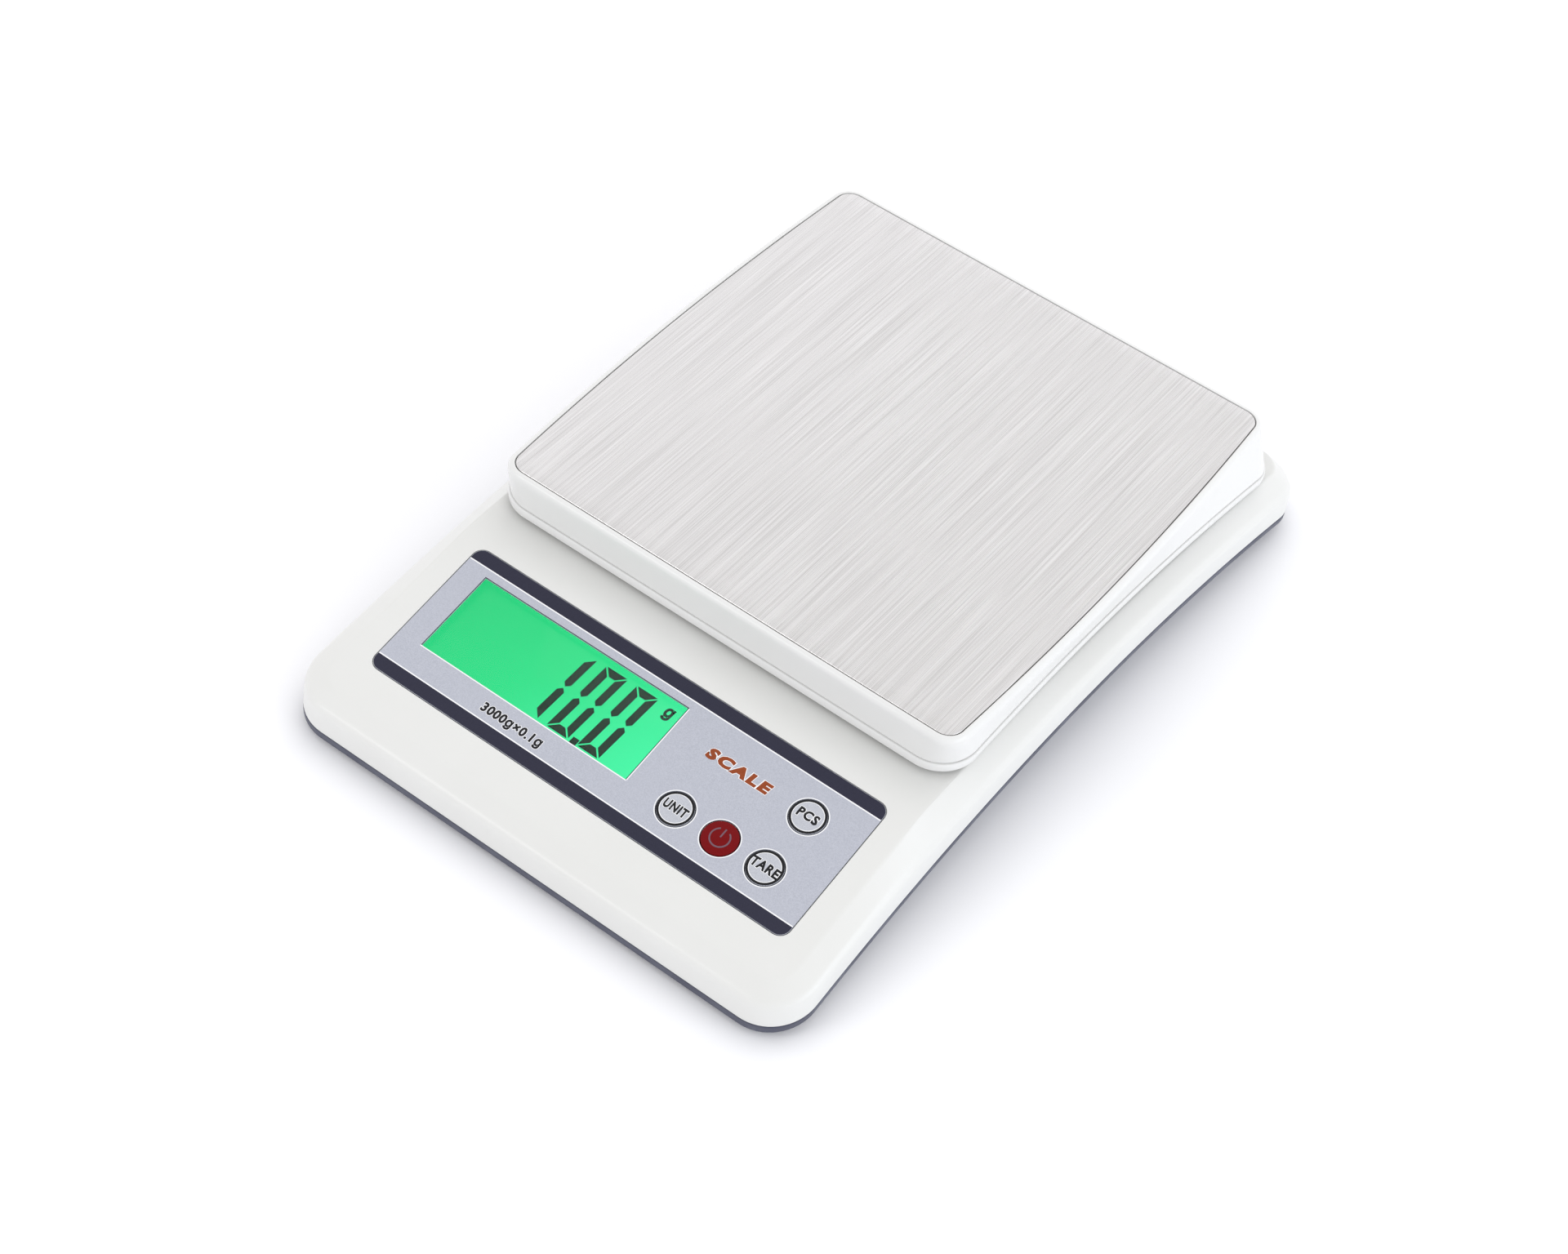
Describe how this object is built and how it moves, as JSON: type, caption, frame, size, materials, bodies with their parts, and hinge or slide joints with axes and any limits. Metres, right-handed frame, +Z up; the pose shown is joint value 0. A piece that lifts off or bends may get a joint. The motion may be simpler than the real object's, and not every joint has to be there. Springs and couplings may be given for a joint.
{
  "type": "digital gram scale",
  "caption": "Low digital gram scale with an arched two-part housing, a tilted panel with a lit display and round keys, and a square steel platter in a tray.",
  "frame": {"origin": "on the table, under the middle of the housing", "axes": "+Y from the control panel towards the back, +X to the right as seen from the panel, +Z up"},
  "size_m": [0.1616, 0.2438, 0.0409],
  "materials": {
    "shell_white": "fine satin moulded ABS",
    "tray_white": "gloss moulded ABS",
    "base_dark": "fine texture",
    "steel": "brushed front to back",
    "overlay": "silver printed film",
    "lens": "clear acrylic",
    "display": "backlit segment display",
    "backlight": "light guide",
    "key_silver": "printed film dome",
    "key_red": "printed film dome",
    "board": "solder mask",
    "chip": "moulded package",
    "frame_plastic": "plain moulded",
    "elastomer": "layered elastomer",
    "aluminium": "machined",
    "screw": "nickel plated",
    "contact": "nickel plated spring steel",
    "battery": "plain printed sleeve",
    "rubber": "soft moulded",
    "carrier": "glass-filled moulding",
    "adhesive": "foam tape",
    "lead_red": "wire sleeve",
    "lead_black": "wire sleeve",
    "lead_grey": "wire sleeve"
  },
  "bodies": {
    "housing": {"battery_1": "battery", "battery_2": "battery", "battery_3": "battery", "battery_lead_black": "lead_black", "battery_lead_red": "lead_red", "board_screw_1": "screw", "board_screw_2": "screw", "board_screw_3": "screw", "board_screw_4": "screw", "bottom_shell": "base_dark", "case_screw_front_left": "screw", "case_screw_front_right": "screw", "case_screw_middle_left": "screw", "case_screw_middle_right": "screw", "case_screw_rear_left": "screw", "case_screw_rear_right": "screw", "contact_link_left": "contact", "contact_link_right": "contact", "contact_negative": "contact", "contact_positive": "contact", "controller_chip": "chip", "converter_chip": "chip", "display_lens": "lens", "foot_front_left": "rubber", "foot_front_right": "rubber", "foot_rear_left": "rubber", "foot_rear_right": "rubber", "lcd_backlight": "backlight", "lcd_frame": "frame_plastic", "lcd_glass": "display", "load_cell": "aluminium", "load_cell_cable": "lead_grey", "load_cell_screw_1": "screw", "load_cell_screw_2": "screw", "load_cell_spacer": "aluminium", "main_board": "board", "panel_overlay": "overlay", "switch_pcs": "chip", "switch_power": "chip", "switch_tare": "chip", "switch_unit": "chip", "top_shell": "shell_white", "zebra_connector": "elastomer"},
    "carrier": {"carrier_pad_front_left": "rubber", "carrier_pad_front_right": "rubber", "carrier_pad_rear_left": "rubber", "carrier_pad_rear_right": "rubber", "carrier_screw_1": "screw", "carrier_screw_2": "screw", "platter_carrier": "carrier", "upper_spacer": "aluminium"},
    "platter": {"platter_tray": "tray_white", "steel_plate": "steel", "adhesive_sheet": "adhesive"},
    "key_unit": {"key_unit": "key_silver"},
    "key_power": {"key_power": "key_red"},
    "key_tare": {"key_tare": "key_silver"},
    "key_pcs": {"key_pcs": "key_silver"},
    "battery_door": {"battery_door": "base_dark"}
  },
  "joints": [
    {"name": "weigh", "type": "slide", "parent": "housing", "child": "carrier", "axis": [0, 0, -1], "range_m": [0, 0.0005], "stiffness_N_per_m": 60000, "deforming": ["load_cell"]},
    {"name": "platter_lift", "type": "slide", "parent": "carrier", "child": "platter", "axis": [0, 0, 1], "range_m": [0, 0.025]},
    {"name": "press_unit", "type": "slide", "parent": "housing", "child": "key_unit", "axis": [0, 0.2024, -0.9793], "range_m": [0, 0.0004], "stiffness_N_per_m": 4000},
    {"name": "press_power", "type": "slide", "parent": "housing", "child": "key_power", "axis": [0, 0.2024, -0.9793], "range_m": [0, 0.0004], "stiffness_N_per_m": 4000},
    {"name": "press_tare", "type": "slide", "parent": "housing", "child": "key_tare", "axis": [0, 0.2024, -0.9793], "range_m": [0, 0.0004], "stiffness_N_per_m": 4000},
    {"name": "press_pcs", "type": "slide", "parent": "housing", "child": "key_pcs", "axis": [0, 0.2024, -0.9793], "range_m": [0, 0.0004], "stiffness_N_per_m": 4000},
    {"name": "battery_door_hinge", "type": "hinge", "parent": "housing", "child": "battery_door", "pos_m": [0, 0.0723, 0.0016], "axis": [-1, 0, 0], "range_deg": [0, 75]}
  ]
}
